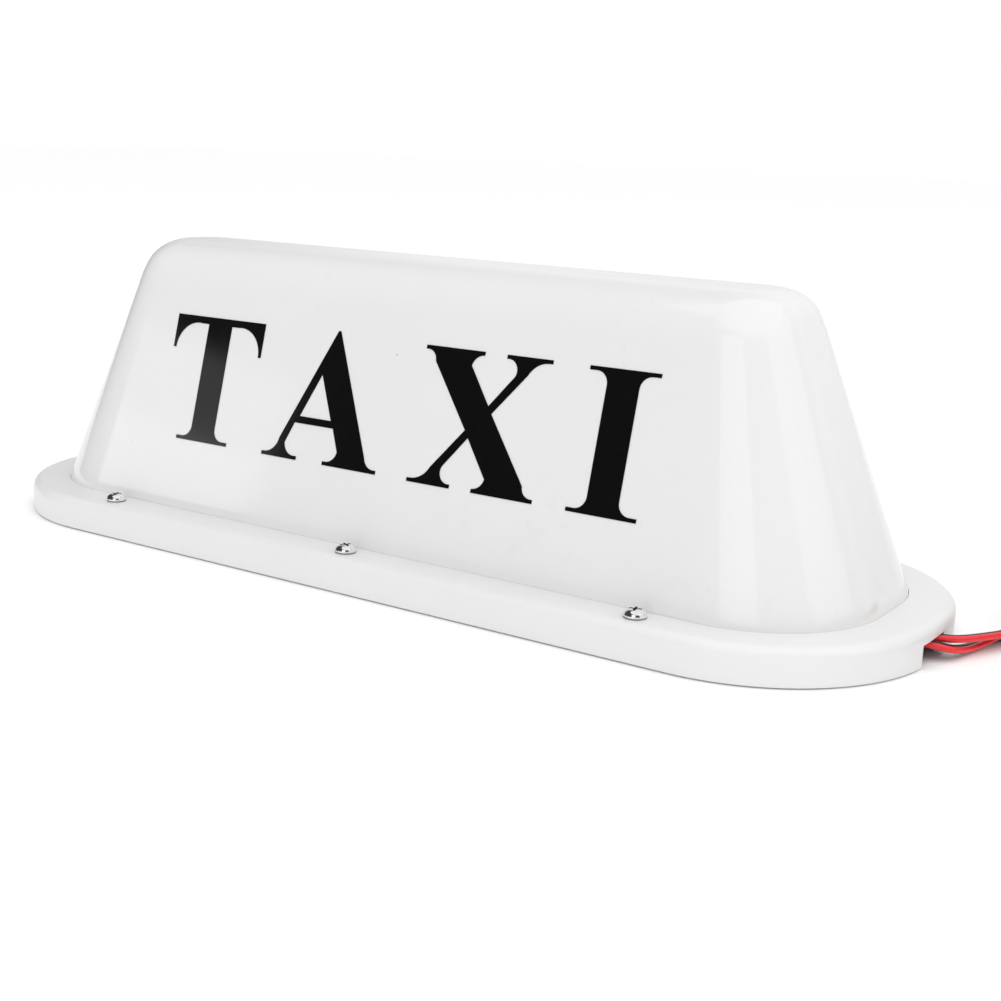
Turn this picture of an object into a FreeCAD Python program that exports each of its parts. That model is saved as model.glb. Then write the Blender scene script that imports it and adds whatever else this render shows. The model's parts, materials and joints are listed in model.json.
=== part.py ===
"""Magnetic taxi roof light: an opal dome on a screwed-down base frame, with two lit boards
inside, four rubber-shod pot magnets below, and two flat twin leads to one accessory plug.

Millimetres. X runs along the light, -Y is the front face, +Z is up.
The origin is at the centre of the base, on the surface that the magnets stand on.
"""
import FreeCAD, Part
import math
import os

V = FreeCAD.Vector
os.makedirs("parts", exist_ok=True)

# ---- driving dimensions -------------------------------------------------------------------
RIM_LENGTH = 355.0
RIM_WIDTH = 124.0
RIM_CORNER = 55.7
RIM_BOTTOM = 0.5          # the rim hangs this far above the surface below the magnets
RIM_HEIGHT = 11.1
RIM_WALL = 2.4
RIM_ROUND = 3.2
FOOT_LENGTH = 325.1       # dome where it meets the top of the rim
FOOT_WIDTH = 95.8
FOOT_CORNER = 39.0
DOME_HEIGHT = 90.9
DOME_WALL = 2.2
END_DRAFT = 21.3          # degrees off vertical
FACE_DRAFT = 15.1
TOP_CORNER = 18.0         # plan corner at the top, before its edges are rounded
END_ROUND = 12.0
FACE_ROUND = 20.0
FLANGE = 2.0
GASKET = 0.8
PLATE = 2.4
SCREW_X = 106.6           # cover screws at -x, 0 and +x on both long sides
SCREW_Y = 53.9
NOTCH_FROM, NOTCH_TO = -12.5, 4.4
NOTCH_HEIGHT = 6.7
MAGNET_X = 128.0
MAGNET_Y = 25.5
MAGNET_R = 15.5
MAGNET_HEIGHT = 6.0
LEAD_R = 1.3              # stands for a 4 x 2 mm twin lead of the same section
COIL_CENTRE = (220.5, 60.0)
COIL_INNER = 19.3
COIL_OUTER = 25.7
COIL_THICK = 8.2
TIE = 0.7
PLUG_X = 245.0
PLUG_Z = 11.4
PLUG_TIP_Y = -52.0        # front of the plug's nose cap; the plug points to -Y
CONTACT_TRAVEL = 2.5
SIDE_TRAVEL = 1.2

# ---- levels that follow from them ---------------------------------------------------------
RIM_TOP = RIM_BOTTOM + RIM_HEIGHT
FLANGE_TOP = RIM_TOP - RIM_WALL
FLANGE_FOOT = FLANGE_TOP - FLANGE
PLATE_TOP = FLANGE_FOOT - GASKET
PLATE_FOOT = PLATE_TOP - PLATE
DOME_TOP = RIM_TOP + DOME_HEIGHT
RIM_GAP = 0.3             # between the rim's wall and what sits inside it

parts = {}


# ---- helpers ------------------------------------------------------------------------------
def rounded(hx, hy, r, z=0.0):
    """Closed wire: a rectangle of half sizes hx, hy with corners of radius r."""
    k = r * (1 - math.sqrt(0.5))
    edges = []
    corners = ((1, 1), (-1, 1), (-1, -1), (1, -1))
    ends = []
    for n, (sx, sy) in enumerate(corners):
        along = V(sx * hx, sy * (hy - r), z)
        across = V(sx * (hx - r), sy * hy, z)
        middle = V(sx * (hx - k), sy * (hy - k), z)
        first, last = (along, across) if n % 2 == 0 else (across, along)
        ends.append((first, middle, last))
    for n, (first, middle, last) in enumerate(ends):
        edges.append(Part.Arc(first, middle, last).toShape())
        edges.append(Part.LineSegment(last, ends[(n + 1) % 4][0]).toShape())
    return Part.Wire(edges)


def slab(hx, hy, r, low, high):
    """Upright block with a rounded-rectangle outline."""
    return Part.Face(rounded(hx, hy, r, low)).extrude(V(0, 0, high - low))


def cyl(r, low, high, x=0.0, y=0.0):
    return Part.makeCylinder(r, high - low, V(x, y, low))


def block(x0, x1, y0, y1, z0, z1):
    return Part.makeBox(x1 - x0, y1 - y0, z1 - z0, V(x0, y0, z0))


def outline(points):
    """Face from (x, y) points; a pair of points is an arc through the first to the second."""
    edges = []
    here = V(points[0][0], points[0][1], 0)
    for step in points[1:] + [points[0]]:
        if isinstance(step[0], tuple):
            middle, end = V(*step[0], 0), V(*step[1], 0)
            edges.append(Part.Arc(here, middle, end).toShape())
        else:
            end = V(*step, 0)
            if here.distanceToPoint(end) > 1e-6:
                edges.append(Part.LineSegment(here, end).toShape())
        here = end
    return Part.Face(Part.Wire(edges))


def turned(profile):
    """Solid of revolution about Z from the (radius, height) points of outline()."""
    face = outline(profile)
    face.rotate(V(0, 0, 0), V(1, 0, 0), 90)
    return face.revolve(V(0, 0, 0), V(0, 0, 1), 360)


def four_ways(x, y):
    return [(sx * x, sy * y) for sx in (-1, 1) for sy in (-1, 1)]


def lay_down(shape):
    """Places a plug part: its own +Z axis, from the nose back, becomes +Y."""
    shape = shape.copy()
    shape.rotate(V(0, 0, 0), V(1, 0, 0), -90)
    shape.translate(V(PLUG_X, PLUG_TIP_Y, PLUG_Z))
    return shape


def cord(route, r, name):
    """Round tube along straight runs joined by tangent arcs, as large as the runs allow."""
    pts = [V(*p) for p in route]
    edges = []
    here = pts[0]
    radii = []
    for n in range(1, len(pts) - 1):
        back = (pts[n - 1] - pts[n])
        ahead = (pts[n + 1] - pts[n])
        turn = math.pi - back.getAngle(ahead)
        cut = 0.45 * min(back.Length, ahead.Length)
        radii.append(cut / math.tan(turn / 2))
        start = pts[n] + back.normalize() * cut
        end = pts[n] + ahead.normalize() * cut
        centre_way = (back + ahead).normalize()
        to_centre = math.hypot(radii[-1], cut)
        middle = pts[n] + centre_way * (to_centre - radii[-1])
        edges.append(Part.LineSegment(here, start).toShape())
        edges.append(Part.Arc(start, middle, end).toShape())
        here = end
    edges.append(Part.LineSegment(here, pts[-1]).toShape())
    path = Part.Wire(edges)
    ring = Part.Wire([Part.Circle(pts[0], pts[1] - pts[0], r).toShape()])
    solid = path.makePipeShell([ring], True, False)
    ratio = solid.Volume / (math.pi * r * r * path.Length)
    print(f"{name}: {path.Length:.1f} mm, volume/ideal {ratio:.4f}, radii",
          " ".join(f"{k:.0f}" for k in radii))
    return solid


def pan_screw(head_r, head_h, shank_r, length, turn=0.0):
    """Pan-head screw with a cross recess, its head's underside at z=0."""
    side = head_h * 0.36
    head = turned([(0, 0), (head_r, 0), (head_r, side),
                   ((head_r * 0.72, head_h * 0.9), (head_r * 0.2, head_h)), (0, head_h)])
    arm = head_r * 0.56
    wide = head_r * 0.13
    depth = head_h * 0.55
    for angle in (0, 90):
        slot = block(-arm, arm, -wide, wide, head_h - depth, head_h + 1)
        slot.rotate(V(0, 0, 0), V(0, 0, 1), angle)
        head = head.cut(slot)
    tip = shank_r * 0.9
    shank = turned([(0, 0), (shank_r, 0), (shank_r, tip - length), (0.4, -length), (0, -length)])
    screw = head.fuse(shank).removeSplitter()
    screw.rotate(V(0, 0, 0), V(0, 0, 1), turn)
    return screw


# ---- dome ---------------------------------------------------------------------------------
def edge_law(half, draft, edge_round, top):
    """Half size at height z: a straight drafted wall, then an arc into the flat top."""
    lean = math.radians(draft)
    turn_z = top - edge_round * (1 - math.sin(lean))
    at_turn = half - (turn_z - RIM_TOP) * math.tan(lean)
    flat = at_turn - edge_round * math.cos(lean)

    def half_at(z):
        if z <= turn_z:
            return half - (z - RIM_TOP) * math.tan(lean)
        rise = z - (top - edge_round)
        return flat + math.sqrt(max(edge_round ** 2 - rise ** 2, 0.0))

    return half_at


def dome_sections(inset):
    """Wires up the dome; inset moves them inside by the wall's thickness."""
    top = DOME_TOP - inset
    end_half = FOOT_LENGTH / 2 - inset / math.cos(math.radians(END_DRAFT))
    face_half = FOOT_WIDTH / 2 - inset / math.cos(math.radians(FACE_DRAFT))
    ends = edge_law(end_half, END_DRAFT, END_ROUND - inset, top)
    faces = edge_law(face_half, FACE_DRAFT, FACE_ROUND - inset, top)
    plain = edge_law(face_half, FACE_DRAFT, 0.001, top)
    arc = FACE_ROUND - inset
    levels = [RIM_TOP]
    first = FACE_DRAFT
    steps = [first + (90 - first) * k / 9 for k in range(10)]
    levels += [top - arc * (1 - math.sin(math.radians(a))) for a in steps]
    wires = []
    for z in levels:
        share = (z - RIM_TOP) / (top - RIM_TOP)
        corner = FOOT_CORNER - inset + (TOP_CORNER - FOOT_CORNER) * share
        corner -= 0.62 * (plain(z) - faces(z))
        corner = min(corner, 0.97 * faces(z))
        wires.append(rounded(ends(z), faces(z), corner, z))
    return wires


def screw_spots():
    return [(x, y) for y in (-SCREW_Y, SCREW_Y) for x in (-SCREW_X, 0.0, SCREW_X)]


def dome_cover():
    foot = FOOT_LENGTH / 2, FOOT_WIDTH / 2, FOOT_CORNER
    inner = foot[0] - DOME_WALL, foot[1] - DOME_WALL, foot[2] - DOME_WALL
    edge = RIM_WALL + RIM_GAP + 0.3
    shell = Part.makeLoft(dome_sections(0.0), True, True)
    shell = shell.fuse(slab(*foot, FLANGE_FOOT, RIM_TOP))
    shell = shell.fuse(slab(RIM_LENGTH / 2 - edge, RIM_WIDTH / 2 - edge, RIM_CORNER - edge,
                            FLANGE_FOOT, FLANGE_TOP))
    room = Part.makeLoft(dome_sections(DOME_WALL), True, True)
    shell = shell.cut(room).cut(slab(*inner, FLANGE_FOOT - 1, RIM_TOP + 0.5))
    for x, y in screw_spots():
        shell = shell.cut(cyl(2.0, FLANGE_FOOT - 1, FLANGE_TOP + 1, x, y))
    return shell


def base_frame():
    hx, hy = RIM_LENGTH / 2, RIM_WIDTH / 2
    outer = slab(hx, hy, RIM_CORNER, RIM_BOTTOM, RIM_TOP)
    top_edges = [e for e in outer.Edges
                 if all(abs(v.Z - RIM_TOP) < 1e-6 for v in e.Vertexes)]
    outer = outer.makeFillet(RIM_ROUND, top_edges)
    frame = outer.cut(slab(hx - RIM_WALL, hy - RIM_WALL, RIM_CORNER - RIM_WALL,
                           RIM_BOTTOM - 1, FLANGE_TOP))
    frame = frame.cut(slab(FOOT_LENGTH / 2 + 0.1, FOOT_WIDTH / 2 + 0.1, FOOT_CORNER + 0.1,
                           FLANGE_TOP - 1, RIM_TOP + 1))
    frame = frame.cut(block(hx - 12, hx + 2, NOTCH_FROM, NOTCH_TO,
                            RIM_BOTTOM - 1, RIM_BOTTOM + NOTCH_HEIGHT))
    for x, y in screw_spots():
        frame = frame.cut(cyl(2.0, FLANGE_TOP - 1, RIM_TOP + 1, x, y))
    return frame


# ---- base ---------------------------------------------------------------------------------
GROMMET = (160.6, 173.6, 11.0)    # from x, to x, half width
CLAMP_X = 148.0
FOOT_XS = (-88.0, 88.0)
STUD_R = 2.0


def base_plate():
    edge = RIM_WALL + RIM_GAP + 0.2
    plate = slab(RIM_LENGTH / 2 - edge, RIM_WIDTH / 2 - edge, RIM_CORNER - edge,
                 PLATE_FOOT, PLATE_TOP)
    roof = MAGNET_HEIGHT + 0.2
    for x, y in four_ways(MAGNET_X, MAGNET_Y):
        plate = plate.fuse(cyl(MAGNET_R + 2.5, PLATE_FOOT, roof + PLATE, x, y))
        plate = plate.cut(cyl(MAGNET_R + 0.4, PLATE_FOOT - 1, roof, x, y))
        plate = plate.cut(cyl(STUD_R + 0.2, roof - 1, roof + PLATE + 1, x, y))
    for x, y in screw_spots():
        plate = plate.fuse(cyl(4.0, RIM_BOTTOM + 1.1, PLATE_FOOT, x, y))
        plate = plate.cut(cyl(1.6, RIM_BOTTOM - 1, PLATE_TOP + 1, x, y))
    for x, y in bracket_spots() + clamp_spots():
        plate = plate.fuse(cyl(3.2, RIM_BOTTOM + 1.5, PLATE_FOOT, x, y))
        plate = plate.cut(cyl(1.3, RIM_BOTTOM, PLATE_TOP + 1, x, y))
    half = GROMMET[2] + 0.05
    plate = plate.cut(block(150.0, RIM_LENGTH / 2, -half, half, PLATE_FOOT - 1, PLATE_TOP + 1))
    return plate.removeSplitter()


def cover_gasket():
    edge = RIM_WALL + RIM_GAP + 1.2
    wide = 7.0
    hx, hy, r = RIM_LENGTH / 2 - edge, RIM_WIDTH / 2 - edge, RIM_CORNER - edge
    ring = slab(hx, hy, r, PLATE_TOP, FLANGE_FOOT)
    ring = ring.cut(slab(hx - wide, hy - wide, r - wide, PLATE_TOP - 1, FLANGE_FOOT + 1))
    for x, y in screw_spots():
        ring = ring.cut(cyl(2.0, PLATE_TOP - 1, FLANGE_FOOT + 1, x, y))
    half = GROMMET[2] + 0.2
    return ring.cut(block(150, RIM_LENGTH / 2, -half, half, PLATE_TOP - 1, FLANGE_FOOT + 1))


def cable_grommet():
    x0, x1, half = GROMMET
    body = block(x0, x1, -half, half, PLATE_FOOT, FLANGE_FOOT)
    body = body.makeFillet(0.8, [e for e in body.Edges if abs(e.tangentAt(e.FirstParameter).x) > 0.9
                                 and e.BoundBox.ZMax < PLATE_FOOT + 1])
    for lead in ("front_inner_lead", "front_lead", "rear_inner_lead", "rear_lead"):
        body = body.cut(parts[lead])
    return body


# ---- magnets ------------------------------------------------------------------------------
def magnet(x, y, name):
    rubber = 0.9
    boot = turned([(0, 0), (MAGNET_R - 0.8, 0), (MAGNET_R, 0.8), (MAGNET_R, MAGNET_HEIGHT),
                   (MAGNET_R - rubber, MAGNET_HEIGHT), (MAGNET_R - rubber, rubber), (0, rubber)])
    cup_r = MAGNET_R - rubber
    cup = cyl(cup_r, rubber, MAGNET_HEIGHT).cut(cyl(cup_r - 2, rubber - 1, MAGNET_HEIGHT - 2))
    cup = cup.fuse(cyl(STUD_R, MAGNET_HEIGHT, MAGNET_HEIGHT + 8.0))
    disc = cyl(cup_r - 2.0, rubber, MAGNET_HEIGHT - 2.0)
    for kind, shape in (("boot", boot), ("cup", cup), ("disc", disc)):
        shape.translate(V(x, y, 0))
        parts[f"magnet_{kind}_{name}"] = shape


def magnet_fixings():
    seat = MAGNET_HEIGHT + 0.2 + PLATE
    washers, nuts = [], []
    for x, y in four_ways(MAGNET_X, MAGNET_Y):
        washers.append(cyl(4.5, seat, seat + 0.8, x, y).cut(cyl(2.15, seat - 1, seat + 2, x, y)))
        corners = [V(x + 4.04 * math.cos(math.radians(60 * k)),
                     y + 4.04 * math.sin(math.radians(60 * k)), seat + 0.8) for k in range(7)]
        nut = Part.Face(Part.makePolygon(corners)).extrude(V(0, 0, 3.2))
        nuts.append(nut.cut(cyl(STUD_R, seat, seat + 6, x, y)))
    parts["magnet_washers"] = Part.makeCompound(washers)
    parts["magnet_nuts"] = Part.makeCompound(nuts)


# ---- lamp ---------------------------------------------------------------------------------
WEB = 1.5
BOARD = 1.6
BOARD_X = 100.0
BOARD_LOW = 16.0
BOARD_HIGH = 58.0
RIVET_XS = (-84.0, 0.0, 84.0)
SOCKET_X = 92.0


def bracket_spots():
    return [(x + side * 9.0, side * 8.0) for x in FOOT_XS for side in (-1, 1)]


def rivet_spots():
    return [(x, z) for x in RIVET_XS for z in (BOARD_LOW + 8.0, BOARD_HIGH - 2.9)]


def lamp_bracket():
    web = block(-BOARD_X - 5, BOARD_X + 5, -WEB / 2, WEB / 2, PLATE_TOP, BOARD_HIGH + 4)
    for x, y in bracket_spots():
        side = 1 if y > 0 else -1
        low, high = sorted((side * WEB / 2, side * 13.0))
        web = web.fuse(block(x - 7, x + 7, low, high, PLATE_TOP, PLATE_TOP + WEB))
        web = web.cut(cyl(1.7, PLATE_TOP - 1, PLATE_TOP + WEB + 1, x, y))
    for x, z in rivet_spots():
        web = web.cut(Part.makeCylinder(1.6, 10, V(x, -5, z), V(0, 1, 0)))
    return web.removeSplitter()


def lamp_side(side, name):
    """One lit board on the bracket: board, lamps, resistors and socket. side is -1 or 1."""
    def across(y0, y1):
        return sorted((side * (WEB / 2 + y0), side * (WEB / 2 + y1)))

    board = block(-BOARD_X, BOARD_X, *across(0, BOARD), BOARD_LOW, BOARD_HIGH)
    for x, z in rivet_spots():
        board = board.cut(Part.makeCylinder(1.6, 10, V(x, -5, z), V(0, 1, 0)))
    parts[f"lamp_board_{name}"] = board
    leds = []
    for row in range(3):
        for column in range(10):
            x = -81.0 + 18.0 * column
            z = BOARD_LOW + 13.5 + 10.0 * row
            chip = block(x - 2.5, x + 2.5, *across(BOARD, BOARD + 1.6), z - 2.5, z + 2.5)
            window = Part.makeCylinder(2.0, 0.4, V(x, side * (WEB / 2 + BOARD + 1.6), z),
                                       V(0, -side, 0))
            leds.append(chip.cut(window))
    parts[f"lamp_leds_{name}"] = Part.makeCompound(leds)
    resistors = []
    for column in range(10):
        x = -72.0 + 18.0 * column - (4.0 if column > 7 else 0.0)
        resistors.append(block(x - 1.6, x + 1.6, *across(BOARD, BOARD + 0.6),
                               BOARD_LOW + 3.0, BOARD_LOW + 4.6))
    parts[f"lamp_resistors_{name}"] = Part.makeCompound(resistors)
    x = SOCKET_X + 3.0
    socket = block(x - 4, x + 4, *across(BOARD, BOARD + 6.0), BOARD_LOW + 0.5, BOARD_LOW + 7.5)
    parts[f"lamp_socket_{name}"] = socket


def board_rivets():
    grip = WEB / 2 + BOARD
    rivets = []
    for x, z in rivet_spots():
        rivet = Part.makeCylinder(1.55, 2 * grip, V(x, -grip, z), V(0, 1, 0))
        for side in (-1, 1):
            head = Part.makeCylinder(2.8, 1.0, V(x, side * grip, z), V(0, side, 0))
            rivet = rivet.fuse(head)
        rivets.append(rivet)
    return Part.makeCompound(rivets)


# ---- leads inside the light ---------------------------------------------------------------
LEAD_Z = 5.6
INNER_Z = PLATE_TOP + LEAD_R + 0.1
FRONT_EXIT = (168.4, -5.6, LEAD_Z)
REAR_EXIT = (168.4, -0.8, LEAD_Z)
FRONT_INNER = [(98.95, -5.4, 19.5), (106.5, -6.6, 18.4), (113.5, -6.2, 14.2), (121.0, -4.9, 10.2),
               (130.0, -4.6, INNER_Z + 0.3), (140.0, -5.6, INNER_Z), (149.5, -6.3, INNER_Z + 0.15),
               (156.2, -6.8, 6.5), (162.2, -6.6, LEAD_Z), FRONT_EXIT]
REAR_INNER = [(98.95, 5.4, 19.5), (106.5, 6.6, 18.4), (113.5, 6.2, 14.2), (121.0, 4.9, 10.2),
              (130.0, 3.4, INNER_Z + 0.3), (140.0, 2.0, INNER_Z), (149.5, 0.2, INNER_Z + 0.15),
              (156.2, -0.6, 6.5), (162.2, -1.2, LEAD_Z), REAR_EXIT]


def clamp_spots():
    return [(CLAMP_X, -13.0), (CLAMP_X, 13.0)]


def lead_clamp():
    bridge = block(CLAMP_X - 4, CLAMP_X + 4, -16.5, 16.5, PLATE_TOP, PLATE_TOP + 4.8)
    bridge = bridge.cut(block(CLAMP_X - 6, CLAMP_X + 6, -8.6, 8.6,
                              PLATE_TOP - 1, PLATE_TOP + 2 * LEAD_R + 0.25))
    for side in (-1, 1):
        ear = sorted((side * 10.0, side * 18))
        bridge = bridge.cut(block(CLAMP_X - 6, CLAMP_X + 6, *ear, PLATE_TOP + 2.0, PLATE_TOP + 6))
    for x, y in clamp_spots():
        bridge = bridge.cut(cyl(1.7, PLATE_TOP - 1, PLATE_TOP + 6, x, y))
    return bridge


# ---- lettering ----------------------------------------------------------------------------
CAP_LOW = 24.5            # along the sloping face, from the top of the rim
CAP_HIGH = 68.7
STEM = 11.0
THIN = 2.5
SERIF = 1.25
VINYL = 0.15
SKIN_GAP = 0.03


def mirrored(half):
    """Adds the mirror image in X to a half outline that runs down the right-hand side."""
    flipped = []
    here = None
    for step in half:
        if isinstance(step[0], tuple):
            flipped.append(("arc", here, step[0]))
            here = step[1]
        else:
            flipped.append(("line", here))
            here = step
    out = list(half) + [(-here[0], here[1])]
    for kind, *rest in reversed(flipped[1:]):
        end = (-rest[0][0], rest[0][1])
        if kind == "arc":
            out.append(((-rest[1][0], rest[1][1]), end))
        else:
            out.append(end)
    return out[:-1] if out[-1] == out[0] else out


def level(stroke, serif):
    """Middle point of the arc between a stroke and a serif that meets the serif level."""
    dx, dy = stroke[0] - serif[0], stroke[1] - serif[1]
    r = (dx * dx + dy * dy) / (2 * abs(dy))
    centre = (serif[0], serif[1] + math.copysign(r, dy))
    x = stroke[0] + serif[0] - 2 * centre[0]
    y = stroke[1] + serif[1] - 2 * centre[1]
    size = math.hypot(x, y)
    return (centre[0] + r * x / size, centre[1] + r * y / size)


def bracket(stroke, serif):
    """Arc step from the stroke out to the serif."""
    return (level(stroke, serif), serif)


def foot_bracket(x, low, reach):
    """Right-hand side of a bracketed foot serif under a stem edge at x, ending at (reach, low)."""
    return [(x, low + 5.4), bracket((x, low + 5.4), (x + 4.0, low + SERIF)),
            (reach, low + SERIF), (reach, low)]


def letter_t():
    low, high = CAP_LOW, CAP_HIGH
    half = [(20.9, high), (20.9, high - 11.9), (19.7, high - 11.9),
            ((16.6, high - 4.9), (8.8, high - THIN)), (STEM / 2, high - THIN)]
    return outline(mirrored(half + foot_bracket(STEM / 2, low, 12.1)))


def letter_i():
    low, high = CAP_LOW, CAP_HIGH
    x, reach = STEM / 2, 12.1
    half = [(reach, high), (reach, high - SERIF), (x + 4.0, high - SERIF),
            (level((x, high - 5.4), (x + 4.0, high - SERIF)), (x, high - 5.4))]
    return outline(mirrored(half + foot_bracket(x, low, reach)))


def letter_a():
    low = CAP_LOW
    bar_low, bar_high = low + 12.5, low + 12.5 + THIN - 0.1
    outer = [(-0.3, CAP_HIGH + 0.8), (0.6, CAP_HIGH + 0.8), (19.2, low + 4.8),
             bracket((19.2, low + 4.8), (23.6, low + SERIF)), (24.7, low + SERIF), (24.7, low),
             (2.1, low), (2.1, low + SERIF), (3.3, low + SERIF),
             (level((7.6, low + 5.0), (3.3, low + SERIF)), (7.6, low + 5.0)), (4.2, bar_low),
             (-12.5, bar_low), (-15.4, low + 5.5),
             bracket((-15.4, low + 5.5), (-10.9, low + SERIF)), (-9.4, low + SERIF), (-9.4, low),
             (-24.9, low), (-24.9, low + SERIF), (-24.0, low + SERIF),
             (level((-18.1, low + 6.5), (-24.0, low + SERIF)), (-18.1, low + 6.5))]
    counter = outline([(-4.1, low + 29.8), (-10.8, bar_high), (2.8, bar_high)])
    return outline(outer).cut(counter)


def letter_x():
    """Point-symmetric about the middle of the cap height."""
    high = (CAP_HIGH - CAP_LOW) / 2
    half = [(-24.4, high), (-1.7, high), (-1.7, high - SERIF),
            (level((-6.0, high - 4.8), (-1.7, high - SERIF)), (-6.0, high - 4.8)), (2.75, 5.4),
            (10.6, high - 6.6), bracket((10.6, high - 6.6), (7.4, high - SERIF)),
            (6.6, high - SERIF), (6.6, high), (23.4, high), (23.4, high - SERIF),
            (22.2, high - SERIF),
            (level((15.2, high - 5.6), (22.2, high - SERIF)), (15.2, high - 5.6)), (4.35, 3.1),
            (20.0, 4.8 - high), bracket((20.0, 4.8 - high), (23.6, SERIF - high)),
            (24.4, SERIF - high)]
    turned_round = []
    for step in half:
        if isinstance(step[0], tuple):
            turned_round.append(tuple((-p[0], -p[1]) for p in step))
        else:
            turned_round.append((-step[0], -step[1]))
    face = outline(half + turned_round)
    face.translate(V(0, (CAP_HIGH + CAP_LOW) / 2, 0))
    return face


def lettering(side):
    """Four cut vinyl letters on the sloping front (side -1) or rear (side 1) face."""
    lean = math.radians(FACE_DRAFT)
    letters = []
    for draw, x in ((letter_t, -76.5), (letter_a, -22.9), (letter_x, 38.0), (letter_i, 86.5)):
        solid = draw().extrude(V(0, 0, VINYL))
        solid.translate(V(x, 0, SKIN_GAP))
        solid.rotate(V(0, 0, 0), V(1, 0, 0), 90 - FACE_DRAFT)
        solid.translate(V(0, -FOOT_WIDTH / 2, RIM_TOP))
        if side > 0:
            solid.rotate(V(0, 0, 0), V(0, 0, 1), 180)
        letters.append(solid)
    return Part.makeCompound(letters)


# ---- leads outside the light --------------------------------------------------------------
COIL_LOW = TIE + 0.1
FRONT_COIL = (COIL_LOW, COIL_LOW + COIL_THICK)
REAR_COIL = (FRONT_COIL[1] + 0.1, FRONT_COIL[1] + 0.1 + COIL_THICK)
LANE = 24.6               # radius of the turn where a lead joins and leaves its coil
IN_X = COIL_CENTRE[0] - LANE
OUT_X = COIL_CENTRE[0] + LANE
COIL_Y = COIL_CENTRE[1]
FRONT_LEAD = [FRONT_EXIT, (173.4, -4.8, 5.5), (177.7, -3.6, 5.0), (180.9, -0.6, 3.8),
              (182.4, 4.6, 2.8), (183.6, 11.6, 2.0), (185.6, 19.4, 1.6), (188.2, 27.4, 1.5),
              (191.3, 35.9, 1.6), (194.0, 44.4, 2.2), (195.5, 52.4, 2.8), (IN_X, COIL_Y, 2.9)]
REAR_LEAD = [REAR_EXIT, (173.5, 0.1, 5.7), (178.3, 1.9, 5.6), (181.9, 4.9, 5.6),
             (184.7, 9.7, 5.3), (187.2, 15.4, 4.9), (190.2, 21.6, 4.6), (192.6, 29.6, 4.9),
             (194.3, 38.0, 6.6), (195.3, 46.2, 9.0), (195.7, 53.4, 10.8), (IN_X, COIL_Y, 11.2)]
FRONT_TAIL = [(OUT_X, COIL_Y, 6.9), (245.4, 53.4, 7.0), (244.8, 45.6, 8.4), (245.2, 38.0, 9.8),
              (PLUG_X, 32.0, PLUG_Z - 1.35)]
REAR_TAIL = [(OUT_X, COIL_Y, 15.3), (245.3, 53.2, 15.0), (245.0, 45.4, 14.0), (244.9, 38.2, 12.9),
             (PLUG_X, 32.0, PLUG_Z + 1.35)]


def coil(low, high):
    """Closed ring that a lead's turns fill."""
    x, y = COIL_CENTRE
    ring = cyl(COIL_OUTER, low, high, x, y).cut(cyl(COIL_INNER, low - 1, high + 1, x, y))
    return ring.makeFillet(1.6, ring.Edges[:0] + [e for e in ring.Edges if e.Closed])


def coil_tie():
    """Flat band round both coils, across the side nearest the front."""
    x, y = COIL_CENTRE
    high = REAR_COIL[1] + 0.1
    wide = 9.0
    near = y - COIL_OUTER - 0.35
    far = y - COIL_INNER + 0.75
    band = block(x - wide / 2, x + wide / 2, near - TIE, far + TIE, 0, high + TIE)
    return band.cut(block(x - wide, x + wide, near, far, TIE, high))


# ---- plug, drawn upright from its nose and then laid down -----------------------------------
CONTACT_R = 3.0
FUSE_R = 3.15
FUSE_LONG = 32.0
SPIGOT = 6.4
CAP_LONG = 13.0
BODY_LONG = 52.0
TAIL_LONG = 68.0
RELIEF_LONG = 86.0
BODY_R = 10.3
GRIP_R = PLUG_Z
CONTACT_BACK = 3.6
SPRING_LOW = CONTACT_BACK + FUSE_LONG
SPRING_HIGH = SPRING_LOW + 9.0


def plug_nose_cap():
    cap = turned([(CONTACT_R + 0.08, 0), (7.2, 0), ((7.9, 0.3), (8.2, 1.0)), (9.2, CAP_LONG),
                  (7.2, CAP_LONG), (7.2, SPIGOT), (4.7, SPIGOT), (4.7, 2.2),
                  (CONTACT_R + 0.08, 2.2)])
    for k in range(12):
        rib = cyl(0.55, 1.8, CAP_LONG + 1, 9.4, 0)
        rib.rotate(V(0, 0, 0), V(0, 0, 1), 30 * k)
        cap = cap.cut(rib)
    return cap


def plug_contact():
    return turned([(0, -5.0), ((1.9, -4.6), (CONTACT_R, -3.2)), (CONTACT_R, 2.3), (4.4, 2.3),
                   (4.4, CONTACT_BACK), (0, CONTACT_BACK)])


def plug_fuse():
    glass = cyl(FUSE_R - 0.35, CONTACT_BACK + 1, SPRING_LOW - 1)
    return glass.cut(cyl(FUSE_R - 1.1, CONTACT_BACK, SPRING_LOW))


def plug_fuse_caps():
    caps = []
    for low, high, closed in ((CONTACT_BACK, CONTACT_BACK + 6.2, CONTACT_BACK),
                              (SPRING_LOW - 6.2, SPRING_LOW, SPRING_LOW)):
        hollow = (low + 0.95, high + 1) if closed == low else (low - 1, high - 0.95)
        caps.append(cyl(FUSE_R, low, high).cut(cyl(FUSE_R - 0.34, *hollow)))
    return Part.makeCompound(caps)


def plug_spring():
    wire, r = 0.35, 2.6
    helix = Part.makeHelix(1.5, SPRING_HIGH - SPRING_LOW - 2 * wire - 0.1, r)
    ring = Part.Wire([Part.Circle(V(r, 0, 0), V(0, 1, 0.09), wire).toShape()])
    solid = Part.Wire(helix).makePipeShell([ring], True, True)
    solid.translate(V(0, 0, SPRING_LOW + wire + 0.05))
    return solid


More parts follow.
